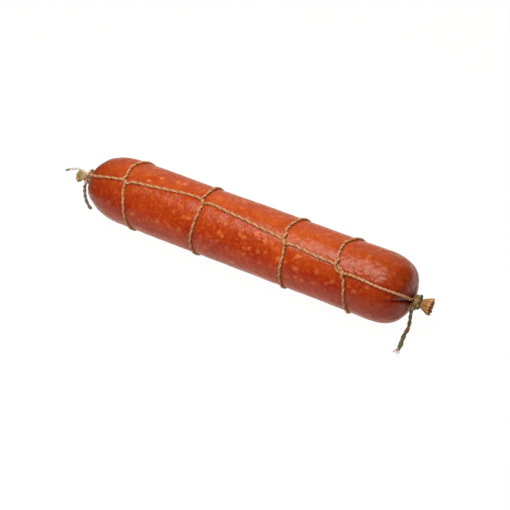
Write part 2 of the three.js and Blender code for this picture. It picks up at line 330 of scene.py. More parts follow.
def main_strand():
    """From the left free end's exit to the right one's: ties, run, hitches and rings, in one length"""
    points = [TAIL_LEFT[0]]
    points += neck_turns(-163.0, 12, -164.4, 290, 7.3, 6.0)
    points += neck_turns(-164.6, 325, -160.3, 45 + 1080, TIE_R, TIE_R)
    points += neck_turns(-159.4, 48, -158.9, 50, 6.4, 7.6, 1)
    rows = []
    turn = 0
    s = -156.9
    for ring in RINGS:
        found, half = ring_rows(ring)
        stop = ring["node"][0] - half - 2.5
        n = max(2, int((stop - s) / 4.2))
        for i in range(n + 1):
            at = s + (stop - s) * i / n
            rows.append((at, float(run_angle(at)) + turn, H0))
        rows += [(a, b + turn, c) for a, b, c in found]
        turn -= 360
        s = ring["node"][0] + half + 8.5
    d = np.sin(np.linspace(math.asin(s / HALF), math.asin(156.9 / HALF), 16)) * HALF
    rows += [(at, float(run_angle(at)) + turn, H0) for at in d]
    points += casing_points(rows)
    points += neck_turns(158.9, 42, 159.5, 46, 7.2, 6.2, 1)
    points += neck_turns(160.3, 66, 164.9, 37 + 1080, TIE_R, TIE_R)
    points += neck_turns(165.2, 62, 161.4, 345, 6.0, 6.5)
    points += neck_turns(160.9, 2, 160.3, 14, 6.7, 7.2, 12)
    points += [(159.8, -8.2, -0.4), (160.1, -8.0, -3.2)]
    return points


def back_strand():
    """The other lengthways run: out of the right tie, over each ring behind, under the left tie, and its stub"""
    points = neck_turns(163.6, 205, 160.2, 216, 4.7, 5.0)
    points += neck_turns(158.9, 218, 158.9, 219, 7.2, 7.3, 1)
    rows = []
    for at in np.sin(np.linspace(math.asin(156.6 / HALF), -math.asin(156.6 / HALF), 70)) * HALF:
        rows.append((at, float(back_angle(at)), H0))
    for ring in RINGS:
        station = hermite([(-k, v) for k, v in ring["way"]])
        at = float(station(360 - 227))
        rows = [r for r in rows if abs(r[0] - at) > 6.5]
        for d, h in ((6.2, 0), (4.2, 0.35), (2.4, 1.35), (0.9, 2.0), (-0.9, 2.0), (-2.4, 1.35), (-4.2, 0.35), (-6.2, 0)):
            rows.append((at + d, float(back_angle(at + d)), H0 + h))
    rows.sort(key=lambda r: -r[0])
    points += casing_points(rows)
    points += neck_turns(-158.9, 221, -158.9, 222, 7.3, 7.2, 1)
    points += neck_turns(-160.2, 224, -164.8, 226, 5.0, 4.7)
    points += neck_turns(-166.0, 228, -165.8, 66 + 360 - 18, 5.2, 5.6)
    return points


# ---------------------------------------------------------------- making meshes


def make_object(name, verts, faces, attributes, material, smooth_faces=True):
    """verts in own-frame mm; faces a list of index tuples or an (n, 4) array"""
    me = bpy.data.meshes.new(name)
    if isinstance(faces, np.ndarray):
        n = len(faces)
        me.vertices.add(len(verts))
        me.vertices.foreach_set("co", row(verts).astype(np.float32).ravel())
        me.loops.add(n * 4)
        me.loops.foreach_set("vertex_index", faces.astype(np.int32).ravel())
        me.polygons.add(n)
        me.polygons.foreach_set("loop_start", np.arange(0, n * 4, 4, dtype=np.int32))
        me.update(calc_edges=True)
    else:
        me.from_pydata([tuple(v) for v in row(verts)], [], faces)
    me.validate()
    for key, values in attributes.items():
        at = me.attributes.new(key, "FLOAT", "POINT")
        at.data.foreach_set("value", np.asarray(values, np.float32))
    me.polygons.foreach_set("use_smooth", np.full(len(me.polygons), smooth_faces))
    me.materials.append(material)
    ob = bpy.data.objects.new(name, me)
    bpy.context.scene.collection.objects.link(ob)
    return ob


def transport(centres, first=None):
    """tangents and a twist-free pair of normals along a curve"""
    t = np.gradient(centres, axis=0)
    t /= np.linalg.norm(t, axis=1, keepdims=True)
    n = np.zeros_like(t)
    ref = np.array([0.0, 0.0, 1.0]) if first is None else np.asarray(first, float)
    if abs(ref @ t[0]) > 0.9:
        ref = np.array([0.0, 1.0, 0.0])
    v = ref - (ref @ t[0]) * t[0]
    n[0] = v / np.linalg.norm(v)
    for i in range(1, len(t)):
        v = n[i - 1] - (n[i - 1] @ t[i]) * t[i]
        n[i] = v / np.linalg.norm(v)
    return t, n, np.cross(t, n)


class Tubes:
    """collects tubes, each with its attributes, into one mesh"""

    def __init__(self):
        self.verts, self.faces, self.count = [], [], 0
        self.keys = {}

    def add(self, centres, radii, sides=9, lobes=0.0, lobe_turn=None, frame_=None, floor=True, **values):
        centres = np.asarray(centres, float)
        n = len(centres)
        radii = np.broadcast_to(np.asarray(radii, float), (n,))
        _, u, v = transport(centres) if frame_ is None else frame_
        psi = 2 * np.pi * np.arange(sides) / sides
        turn = np.zeros(n) if lobe_turn is None else lobe_turn
        ang = psi[None, :] + turn[:, None]
        lobes = np.broadcast_to(np.asarray(lobes, float), (n,))
        rr = radii[:, None] * (1 + lobes[:, None] * np.cos(3 * psi)[None, :])
        ring = centres[:, None] + rr[..., None] * (np.cos(ang)[..., None] * u[:, None] + np.sin(ang)[..., None] * v[:, None])
        if floor:
            ring[..., 2] = np.maximum(ring[..., 2], GROUND)
        base = self.count
        self.verts.append(ring.reshape(-1, 3))
        i = np.arange(n - 1)[:, None] * sides
        j = np.arange(sides)[None, :]
        k = (j + 1) % sides
        q = np.stack([i + j, i + k, i + sides + k, i + sides + j], -1).reshape(-1, 4) + base
        self.faces += q.tolist()
        ends = np.stack([centres[0], centres[-1]])
        if floor:
            ends[:, 2] = np.maximum(ends[:, 2], GROUND)
        self.verts.append(ends)
        a, b = base + n * sides, base + n * sides + 1
        self.faces += [[a, base + (s + 1) % sides, base + s] for s in range(sides)]
        last = base + (n - 1) * sides
        self.faces += [[b, last + s, last + (s + 1) % sides] for s in range(sides)]
        for key, value in values.items():
            value = np.broadcast_to(np.asarray(value, float), (n,))
            self.keys.setdefault(key, []).append(np.r_[np.repeat(value, sides), value[0], value[-1]])
        self.keys.setdefault("around", []).append(np.r_[np.tile(psi, n), 0, 0])
        self.count += n * sides + 2

    def object(self, name, material):
        return make_object(name, np.vstack(self.verts), self.faces, {k: np.concatenate(v) for k, v in self.keys.items()}, material)


PITCH = 7.8


class Twine:
    """A two-ply twine along one centre line, from which pieces are cut"""

    def __init__(self, centres, seed, dark, loose=None):
        loose = np.zeros(len(centres)) if loose is None else loose
        self.c = centres
        d = np.linalg.norm(np.diff(centres, axis=0), axis=1)
        self.l = np.r_[0, np.cumsum(d)]
        t, u, v = transport(centres)
        n = len(centres)
        rnd = np.stack([self.l / 9.0, np.full(n, seed * 7.3), np.zeros(n)], -1)
        turn = 2 * np.pi * np.cumsum(np.r_[0, d] / (PITCH * (1 + 1.5 * loose))) + 0.5 * noise3(rnd, seed)
        self.lobes = 0.09 * (1 - 0.6 * np.clip(loose / 0.5, 0, 1))
        self.dark = dark
        self.plies = []
        for k in (0, 1):
            gap = 0.5 * (1 + 0.35 * loose) * (1 + (0.1 + 0.10 * loose) * noise3(rnd * [2.2, 1, 1], seed + 11 + k))
            a = turn + math.pi * k
            c = centres + gap[:, None] * (np.cos(a)[:, None] * u + np.sin(a)[:, None] * v)
            c[:, 2] = np.maximum(c[:, 2], -AXIS_HEIGHT + 0.5)
            r = 0.62 * (1 + 1.55 * loose) * (1 + (0.12 + 0.05 * loose) * noise3(rnd * [3.1, 1, 1], seed + 21 + k))
            self.plies.append((c, r, transport(c)))

    def cut(self, tubes, first, last, plies=(0, 1), taper=None, swell=1.0):
        for k in plies:
            c, r, (t, u, v) = self.plies[k]
            sl = slice(first, last + 1)
            rr = r[sl].copy() * swell
            if taper:
                m = min(taper, len(rr))
                rr[-m:] *= np.sqrt(np.linspace(1, 0.12, m))
            tubes.add(c[sl], rr, 9, self.lobes[sl], -2 * np.pi * self.l[sl] / 3.4, (t[sl], u[sl], v[sl]),
                      ply=float(k), along=self.l[sl] + 500 * k, dark=self.dark[sl])


# ---------------------------------------------------------------- materials


class Nodes:
    def __init__(self, name):
        self.mat = bpy.data.materials.new(name)
        self.mat.use_nodes = True
        self.tree = self.mat.node_tree
        self.bsdf = self.tree.nodes["Principled BSDF"]
        self.coord = self.tree.nodes.new("ShaderNodeTexCoord").outputs["Object"]

    def link(self, a, b):
        self.tree.links.new(a, b)

    def put(self, socket, value):
        if hasattr(value, "is_linked"):
            self.link(value, socket)
        elif hasattr(socket.default_value, "__len__") and not hasattr(value, "__len__"):
            socket.default_value = [value] * len(socket.default_value)
        elif hasattr(value, "__len__") and len(value) == 3 and len(socket.default_value) == 4:
            socket.default_value = (*value, 1)
        else:
            socket.default_value = value

    def attr(self, name):
        n = self.tree.nodes.new("ShaderNodeAttribute")
        n.attribute_name = name
        return n.outputs["Fac"]

    def math(self, op, a, b=0.0, c=None, clamp=False):
        n = self.tree.nodes.new("ShaderNodeMath")
        n.operation, n.use_clamp = op, clamp
        self.put(n.inputs[0], a)
        self.put(n.inputs[1], b)
        if c is not None:
            self.put(n.inputs[2], c)
        return n.outputs[0]

    def vec(self, op, a, b):
        n = self.tree.nodes.new("ShaderNodeVectorMath")
        n.operation = op
        self.put(n.inputs[0], a)
        self.put(n.inputs[1], b)
        return n.outputs[0]

    def noise(self, scale, detail=2.0, rough=0.5, distort=0.0, vector=None, what="Fac"):
        n = self.tree.nodes.new("ShaderNodeTexNoise")
        self.put(n.inputs["Vector"], self.coord if vector is None else vector)
        n.inputs["Scale"].default_value = scale
        n.inputs["Detail"].default_value = detail
        n.inputs["Roughness"].default_value = rough
        n.inputs["Distortion"].default_value = distort
        return n.outputs[what]

    def voronoi(self, scale, vector=None, randomness=1.0):
        n = self.tree.nodes.new("ShaderNodeTexVoronoi")
        self.put(n.inputs["Vector"], self.coord if vector is None else vector)
        n.inputs["Scale"].default_value = scale
        n.inputs["Randomness"].default_value = randomness
        return n.outputs["Distance"], n.outputs["Color"]

    def ramp(self, value, lo, hi, to_lo=0.0, to_hi=1.0, soft=True):
        n = self.tree.nodes.new("ShaderNodeMapRange")
        n.interpolation_type = "SMOOTHSTEP" if soft else "LINEAR"
        self.put(n.inputs["Value"], value)
        for key, v in (("From Min", lo), ("From Max", hi), ("To Min", to_lo), ("To Max", to_hi)):
            n.inputs[key].default_value = v
        return n.outputs["Result"]

    def mix(self, factor, a, b, blend="MIX"):
        n = self.tree.nodes.new("ShaderNodeMix")
        n.data_type, n.blend_type = "RGBA", blend
        self.put(n.inputs["Factor"], factor)
        self.put(n.inputs["A"] if False else n.inputs[6], a)
        self.put(n.inputs[7], b)
        return n.outputs[2]

    def split(self, colour):
        n = self.tree.nodes.new("ShaderNodeSeparateXYZ")
        self.link(colour, n.inputs[0])
        return n.outputs

    def combine(self, x, y, z):
        n = self.tree.nodes.new("ShaderNodeCombineXYZ")
        for i, v in enumerate((x, y, z)):
            self.put(n.inputs[i], v)
        return n.outputs[0]

    def bump(self, height, distance, strength=1.0, normal=None):
        n = self.tree.nodes.new("ShaderNodeBump")
        n.inputs["Strength"].default_value = strength
        n.inputs["Distance"].default_value = distance
        self.put(n.inputs["Height"], height)
        if normal is not None:
            self.link(normal, n.inputs["Normal"])
        return n.outputs["Normal"]


def casing_material():
    m = Nodes("casing")
    fat, pale, dry, painted_fold_shade, end, painted_twine_shade = (m.attr(k) for k in ("fat", "pale", "dry", "painted_fold_shade", "end", "painted_twine_shade"))
    height = m.split(m.coord)[2]
    # the filling seen through the casing: deep red meat, paler and more orange patches
    slow = m.noise(34, 3, 0.55)
    colour = m.mix(m.ramp(slow, 0.3, 0.72), (0.50, 0.021, 0.0010), (0.69, 0.058, 0.0028))
    # painted light: the top is mixed to a more orange tone, in patches, as if lit from above
    painted_top_light = m.ramp(height, 0.036, 0.0595)
    colour = m.mix(m.math("MULTIPLY", painted_top_light, m.ramp(m.noise(70, 3, 0.6), 0.25, 0.7, 0.35, 0.95)), colour, (0.675, 0.110, 0.014))
    # painted shade: a darker belt along the shoulder of the thicker half
    painted_shade_belt = m.math("MULTIPLY", m.ramp(height, 0.039, 0.048), m.ramp(height, 0.0594, 0.0555))
    painted_shade_belt = m.math("MULTIPLY", painted_shade_belt, m.ramp(m.split(m.coord)[0], 0.015, 0.055, 0.45, 0.0))
    colour = m.mix(painted_shade_belt, colour, (0.49, 0.040, 0.005))
    grain = m.noise(420, 4, 0.65)
    colour = m.mix(m.ramp(grain, 0.45, 0.75, 0.0, 0.34), colour, (0.84, 0.135, 0.012))
    colour = m.mix(m.ramp(m.noise(260, 3, 0.6), 0.52, 0.72, 0.0, 0.3), colour, (0.33, 0.018, 0.003))
    colour = m.mix(m.math("MULTIPLY", m.ramp(m.noise(330, 2, 0.5, 0.6), 0.50, 0.68, 0.0, 0.40), end), colour, (0.92, 0.18, 0.022))
    # small faint flecks of fat, and the larger ones
    warp = m.vec("ADD", m.coord, m.vec("MULTIPLY", m.noise(380, 2, 0.5, what="Color"), (0.0022, 0.0022, 0.0022)))
    distance, cell = m.voronoi(190, warp)
    chosen = m.ramp(m.split(cell)[0], 0.58, 0.80)
    small = m.math("MULTIPLY", m.ramp(distance, 0.50, 0.10), chosen)
    tone = m.mix(m.ramp(m.noise(55, 1), 0.35, 0.65), (0.98, 0.205, 0.040), (0.97, 0.195, 0.080))
    colour = m.mix(m.math("MULTIPLY", m.math("MULTIPLY", small, end), 0.32), colour, tone)
    edge = m.math("ADD", fat, m.ramp(m.noise(430, 3, 0.6), 0.2, 0.8, -0.5, 0.5, False))
    colour = m.mix(m.math("MULTIPLY", m.ramp(edge, -0.15, 0.55, 0.0, 0.34), m.ramp(fat, 0.0, 0.12)), colour, (0.87, 0.150, 0.018))
    ragged = m.math("MULTIPLY", m.ramp(edge, 0.02, 1.15), m.ramp(pale, 0.0, 1.0, 0.06, 0.94, False))
    colour = m.mix(ragged, colour, m.mix(m.ramp(m.noise(700, 2), 0.3, 0.7), tone, (1.0, 0.29, 0.088)))
    # darker towards the ends: partly the casing's own deeper tone, partly painted shade where the ends turn from the
    # lamps, most on the right
    colour = m.mix(m.math("SUBTRACT", 1.0, end), colour, (0.22, 0.012, 0.002))
    # painted shade beside and under the twine, where it presses
    colour = m.mix(m.math("MULTIPLY", painted_twine_shade, 0.42), colour, (0.24, 0.026, 0.005))
    # painted shade in the gathers, furrows and creases of the casing
    colour = m.mix(m.math("MULTIPLY", painted_fold_shade, m.math("SUBTRACT", 1.0, dry)), colour, (0.07, 0.006, 0.002))
    # the dry gathered necks and tufts
    blot = m.ramp(m.noise(330, 4, 0.6), 0.35, 0.68)
    right = m.ramp(m.split(m.coord)[0], -0.02, 0.02)
    straw = m.mix(right, m.mix(blot, (0.60, 0.35, 0.090), (0.92, 0.67, 0.25)), m.mix(blot, (0.81, 0.36, 0.115), (0.98, 0.62, 0.28)))
    straw = m.mix(m.ramp(m.noise(750, 3, 0.6), 0.52, 0.74, 0.0, 0.55), straw, (0.26, 0.095, 0.03))
    # painted shade in the folds of the dry tufts, stronger on the left
    straw = m.mix(m.math("MULTIPLY", painted_fold_shade, m.ramp(m.split(m.coord)[0], -0.02, 0.02, 0.48, 0.34)), straw, (0.30, 0.11, 0.026))
    straw = m.mix(m.ramp(pale, 0.2, 1.0, 0.0, 0.85, False), straw, (0.84, 0.74, 0.46))
    # painted shade: browner where it comes out of the right-hand tie
    straw = m.mix(m.ramp(m.split(m.coord)[0], 0.1738, 0.1818, 0.88, 0.0), straw, m.mix(right, straw, m.mix(blot, (0.30, 0.130, 0.034), (0.46, 0.21, 0.065))))
    colour = m.mix(dry, colour, straw)
    m.link(colour, m.bsdf.inputs["Base Color"])
    rough = m.ramp(m.noise(150, 3, 0.6), 0.25, 0.75, 0.20, 0.33)
    rough = m.math("ADD", rough, m.math("MULTIPLY", dry, 0.32))
    m.link(m.math("ADD", rough, m.math("MULTIPLY", fat, 0.03)), m.bsdf.inputs["Roughness"])
    m.bsdf.inputs["IOR"].default_value = 1.45
    m.bsdf.inputs["Specular IOR Level"].default_value = 0.42
    m.bsdf.inputs["Sheen Weight"].default_value = 0.14
    m.bsdf.inputs["Sheen Roughness"].default_value = 0.28
    m.bsdf.inputs["Sheen Tint"].default_value = (1.0, 0.80, 0.62, 1)
    # wrinkling of the casing: lengthways fine lines, soft dimples, and flecks that stand up a little
    lines = m.noise(1.0, 3, 0.6, vector=m.vec("MULTIPLY", m.coord, (170, 900, 900)))
    n = m.bump(m.noise(125, 2, 0.55), 0.0016, 0.55)
    n = m.bump(m.noise(270, 4, 0.6), 0.00075, 0.6, n)
    n = m.bump(lines, 0.00022, 0.5, n)
    n = m.bump(m.noise(1700, 3, 0.6), 0.00010, 0.5, n)
    n = m.bump(m.math("MULTIPLY", ragged, 1.0), 0.00025, 0.6, n)
    m.link(n, m.bsdf.inputs["Normal"])
    return m.mat


def twine_material():
    m = Nodes("twine")
    ply, along, around, dark = (m.attr(k) for k in ("ply", "along", "around", "dark"))
    # fibres lie slantwise along each ply
    fibre = m.noise(1.0, 4, 0.65, 0.4, m.combine(m.math("MULTIPLY", along, 0.55), m.math("ADD", m.math("MULTIPLY", around, 1.9), m.math("MULTIPLY", along, 0.9)), ply))
    streak = m.ramp(fibre, 0.3, 0.7)
    blotch = m.noise(1.0, 3, 0.6, 0.0, m.combine(m.math("MULTIPLY", along, 0.16), ply, 3.0))
    cream = m.mix(streak, (0.87, 0.375, 0.160), (0.98, 0.565, 0.335))
    olive = m.mix(streak, (0.54, 0.190, 0.046), (0.80, 0.350, 0.122))
    # painted light: in the last run at the right the plies are lighter, redder and closer in colour, lifting its shaded
    # side
    along_x = m.split(m.coord)[0]
    last_run_painted_light = m.math("MULTIPLY", m.ramp(along_x, 0.119, 0.127, 0.0, 0.35), m.ramp(along_x, 0.161, 0.165, 1.0, 0.0))
    colour = m.mix(m.math("MULTIPLY", m.ramp(ply, 0.3, 0.7), m.math("SUBTRACT", 1.0, last_run_painted_light)), cream, olive)
    colour = m.mix(last_run_painted_light, colour, m.mix(streak, (0.92, 0.36, 0.135), (1.0, 0.47, 0.235)))
    colour = m.mix(m.ramp(blotch, 0.42, 0.7, 0.0, 0.4), colour, (0.58, 0.30, 0.12))
    green = m.mix(streak, (0.066, 0.077, 0.028), (0.26, 0.295, 0.135))
    # olive in the right-hand tie
    knot = m.math("MULTIPLY", m.ramp(m.split(m.coord)[0], 0.150, 0.156), m.ramp(m.split(m.coord)[2], 0.0215, 0.0245))
    bleached = m.ramp(m.noise(300, 2, 0.5), 0.52, 0.66, 0.0, 0.75)
    green = m.mix(knot, green, m.mix(bleached, m.mix(streak, (0.055, 0.047, 0.010), (0.34, 0.285, 0.095)), (0.64, 0.60, 0.36)))
    # the left-hand end has weathered to grey
    far = m.ramp(m.split(m.coord)[0], -0.156, -0.150, 1.0, 0.0)
    green = m.mix(far, green, m.mix(streak, (0.15, 0.170, 0.112), (0.36, 0.395, 0.30)))
    colour = m.mix(m.math("MULTIPLY", dark, m.ramp(ply, 0.3, 0.7, 0.93, 1.0), clamp=True), colour, green)
    colour = m.mix(m.math("MULTIPLY", dark, -1.0, clamp=True), colour, (0.97, 0.93, 0.82))
    m.link(colour, m.bsdf.inputs["Base Color"])
    m.bsdf.inputs["Roughness"].default_value = 0.82
    m.bsdf.inputs["IOR"].default_value = 1.45
    m.bsdf.inputs["Specular IOR Level"].default_value = 0.3
    m.bsdf.inputs["Sheen Weight"].default_value = 0.15
    m.link(m.bump(fibre, 0.00028, 0.8), m.bsdf.inputs["Normal"])
    return m.mat


CASING, TWINE = casing_material(), twine_material()

# ---------------------------------------------------------------- the twine
STEP = 0.62
TAIL_STEP = 0.62

main_points = main_strand()
left_tail = TAIL_LEFT[::-1]
whole = left_tail + main_points[1:] + TAIL_RIGHT
line = spread(whole, STEP)


def nearest(point, centres, lo=0, hi=None):
    hi = len(centres) if hi is None else hi
    return lo + int(np.argmin(np.linalg.norm(centres[lo:hi] - np.array(point), axis=1)))


cut_left = nearest(TAIL_LEFT[0], line, 0, 90)
cut_right = nearest(TAIL_RIGHT[0], line, len(line) - 130)
arc = np.r_[0, np.cumsum(np.linalg.norm(np.diff(line, axis=0), axis=1))]
# how green each stretch is: the free ends and the ties are
dark = np.zeros(len(line))
dark = np.maximum(dark, 1 - smooth(arc[cut_left] + 25, arc[cut_left] + 95, arc))
dark[:cut_left] = 1.0
dark = np.maximum(dark, 0.85 * smooth(159.6, 161.5, line[:, 0]))
dark[cut_right:] = 1.0
dark = np.where((arc > arc[cut_left] + 60) & (line[:, 0] < -150), np.minimum(dark, 0.35), dark)
# in the ties some of it has stayed cream
patchy = noise3(np.stack([arc / 5.2, 0 * arc + 4.4, 0 * arc], -1), 71)
tie_r, tie_l = smooth(158.6, 160.5, line[:, 0]), smooth(-158.6, -160.5, line[:, 0])
tied_part = (np.arange(len(line)) > cut_left) & (np.arange(len(line)) < cut_right)
# painted shade: the lower side of the left-hand tie is darker
dark = np.where(tied_part, tie_r * np.clip(0.90 + 1.3 * patchy, 0.40, 1.0) + tie_l * np.clip(-0.15 + 1.6 * patchy + 0.8 * smooth(-1.0, -4.0, line[:, 2]), -0.7, 0.85), dark)
dark[cut_right - 14 : cut_right] = 0.72
# the last run before the right-hand tie is thinner, and painted paler as painted light on its shaded side
last_run = smooth(114, 120, line[:, 0]) * smooth(158.5, 155.5, line[:, 0]) * tied_part
dark = dark - 0.06 * last_run
loose = np.zeros(len(line))
loose[:cut_left] = 0.42
loose[cut_right:] = 0.50
loose[cut_right:] += 0.28 * smooth(14, 34, arc[cut_right:] - arc[cut_right])
loose = np.convolve(np.pad(loose, 4, mode="edge"), np.ones(9) / 9, "valid")
dark[:cut_left] = 0.72 + 0.12 * smooth(arc[cut_left] - 14, arc[cut_left] - 20, arc[:cut_left])
past = arc[cut_right:] - arc[cut_right]
dark[cut_right:] = 0.80 + 0.20 * smooth(29, 38, past) - 0.42 * smooth(19, 21.5, past) * smooth(27, 24, past)
strand = Twine(line, 3, dark, loose)

second = spread(back_strand() + STUB, STEP)
arc2 = np.r_[0, np.cumsum(np.linalg.norm(np.diff(second, axis=0), axis=1))]
dark2 = np.zeros(len(second))
dark2 = np.where(arc2 > arc2[-1] - 26, -1.0, dark2)
dark2 = np.where(arc2 > arc2[-1] - 5.2, 0.85, dark2)
strand2 = Twine(second, 9, dark2)

tied = Tubes()
full = 1.32 - 0.20 * smooth(157.5, 160, np.abs(line[cut_left : cut_right + 1, 0]))
full = full - 0.20 * last_run[cut_left : cut_right + 1]
strand.cut(tied, cut_left, cut_right, swell=full)
strand2.cut(tied, 0, len(second) - 1, taper=3, swell=1.28 - 0.18 * smooth(157.5, 160, np.abs(second[:, 0])))
twine_tied = tied.object("twine_tied", TWINE)

end_left = Tubes()
# the plies are cut from the whole in the order left end, tie
strand.cut(end_left, 0, cut_left)
twine_end_left = end_left.object("twine_end_left", TWINE)

end_right = Tubes()
stop = len(line) - 1
green_stop = stop - int(6.6 / STEP)
strand.cut(end_right, cut_right, green_stop, plies=(1,))
strand.cut(end_right, cut_right, green_stop + 3, plies=(0,))
tip = strand.plies[0][0][green_stop + 1]
for to, bend, thick in (((159.9, -38.6, FLOOR - 0.7), (-0.6, -1.0), 0.42), ((163.9, -39.3, FLOOR - 0.7), (0.9, -0.4), 0.38),
                        ((162.3, -38.7, FLOOR - 0.2), (0.1, 0.2), 0.46)):
    t = np.linspace(0, 1, 16)[:, None]
    way = tip * (1 - t) + np.array(to) * t
    way[:, 0] += bend[0] * np.sin(np.pi * t[:, 0])
    way[:, 1] += bend[1] * np.sin(np.pi * t[:, 0]) * 0.4
    end_right.add(way, thick * (1.3 - 0.8 * t[:, 0] ** 1.8), 7, 0.0, ply=0.0, along=900 + 9 * t[:, 0], dark=0.55)
# the last of it has come untwisted into loose fibres
spread_from = green_stop - int(12.5 / STEP)
core = line[spread_from : green_stop + 1]
rng = np.random.default_rng(23)
for k in range(7):
    cut_at = len(core) - int(rng.integers(0, 4))
    way = core[:cut_at].copy()
    t = np.linspace(0, 1, cut_at)
    turn = 2 * np.pi * k / 7 + 0.9 * t
    out = 0.55 + (1.05 + 0.5 * rng.uniform()) * t
    way[:, 0] += out * np.cos(turn)
    way[:, 2] = np.maximum(way[:, 2] + 0.8 * out * np.sin(turn), GROUND + 0.42)
    end_right.add(way, 0.44 * np.clip(1.25 - t**6, 0.3, 1) * np.clip(0.4 + 4 * t, 0, 1), 7, 0.0, ply=float(k % 2),
                  along=1200 + 40 * k + 12.5 * t, dark=1.0)
twine_end_right = end_right.object("twine_end_right", TWINE)

# ---------------------------------------------------------------- the sausage


def stations():
    spans = [(-115.7, -104.6), (-38.4, -36), (43.2, 50), (93.4, 111)]
    list_, s = [], -150.0
    while s < 150.0:
        list_.append(s)
        near = any(a - 4 < s < b + 4 for a, b in spans)
        s += 0.6 if near else 1.15
    for sign in (-1, 1):
        # the rounded ends by equal steps of their own curve
        fine = np.linspace(150, HALF, 400)
        r = radius_at(sign * fine)
        along = np.r_[0, np.cumsum(np.hypot(np.diff(fine), np.diff(r)))]
        for d in np.arange(0.35, along[-1], 0.62):
            list_.append(sign * float(np.interp(d, along, fine)))
        list_ += [sign * x for x in np.arange(HALF + 0.2, NECK_END, 0.8)]
    return np.array(sorted(list_))


def columns():
    out, c = [], 0.0
    while c < 359.6:
        out.append(c)
        c += 0.95 if abs(c - 60) < 9 or abs(c - 225) < 8 else 1.55
    return np.array(out)


def column_angle(s, c):
    key = np.clip(s, -HALF, HALF)
    f, b = run_angle(key), back_angle(key)
    out = np.empty(np.broadcast(s, c).shape)
    out[...] = c
    for (c0, a0), (c1, a1) in zip(
        [(0, 0 * f), (60, f), (135, 135 + 0 * f), (225, b), (256, 258 + 0 * f), (270, 270 + 0 * f)],
        [(60, f), (135, 135 + 0 * f), (225, b), (256, 258 + 0 * f), (270, 270 + 0 * f), (360, 360 + 0 * f)],
    ):
        here = (c >= c0) & (c <= c1)
        out = np.where(here, a0 + (a1 - a0) * (c - c0) / (c1 - c0), out)
    return out


def folded(a, count, seed):
    """irregular gathers round the neck, 0 on a crest to 1 in a valley"""
    warp = 0.8 * np.sin(a + seed) + 0.5 * np.sin(2 * a + 2.1 * seed) + 0.35 * np.sin(5 * a + seed * 1.7)
    return (1 - np.abs(np.cos((count * a + warp) / 2))) ** 1.6


S = stations()
COLS = columns()
TUFT_STEPS = 30


def tuft_profile(sign):
    """station, radius, how far along the folded part, whether inside the mouth"""
    knots = ([(NECK_END, NECK_RADIUS - 0.2), (169.6, 3.6), (171.2, 4.3), (172.6, 5.5), (174.0, 6.3), (175.4, 6.3), (176.2, 5.6)] if sign < 0 else
             [(NECK_END, NECK_RADIUS + 0.5), (168.6, 5.0), (170.3, 5.8), (172.2, 6.7), (174.0, 7.4), (175.2, 7.7)])
    inner = ([(176.3, 4.8), (175.9, 3.6), (175.1, 2.4), (174.6, 1.2), (174.4, 0.25)] if sign < 0 else
             [(175.5, 7.3), (175.1, 6.6), (173.9, 5.2), (172.6, 3.8), (171.6, 2.2), (171.2, 0.3)])
    pts = np.array(knots + inner, float)
    d = np.r_[0, np.cumsum(np.hypot(*np.diff(pts, axis=0).T))]
    at = np.linspace(0, d[-1], TUFT_STEPS + 1)[1:]
    s, r = np.interp(at, d, pts[:, 0]), np.interp(at, d, pts[:, 1])
    for _ in range(2):
        s[1:-1] = (s[:-2] + 2 * s[1:-1] + s[2:]) / 4
        r[1:-1] = (r[:-2] + 2 * r[1:-1] + r[2:]) / 4
    inside = at > d[len(knots) - 1]
    return sign * s, r, at / d[-1], inside


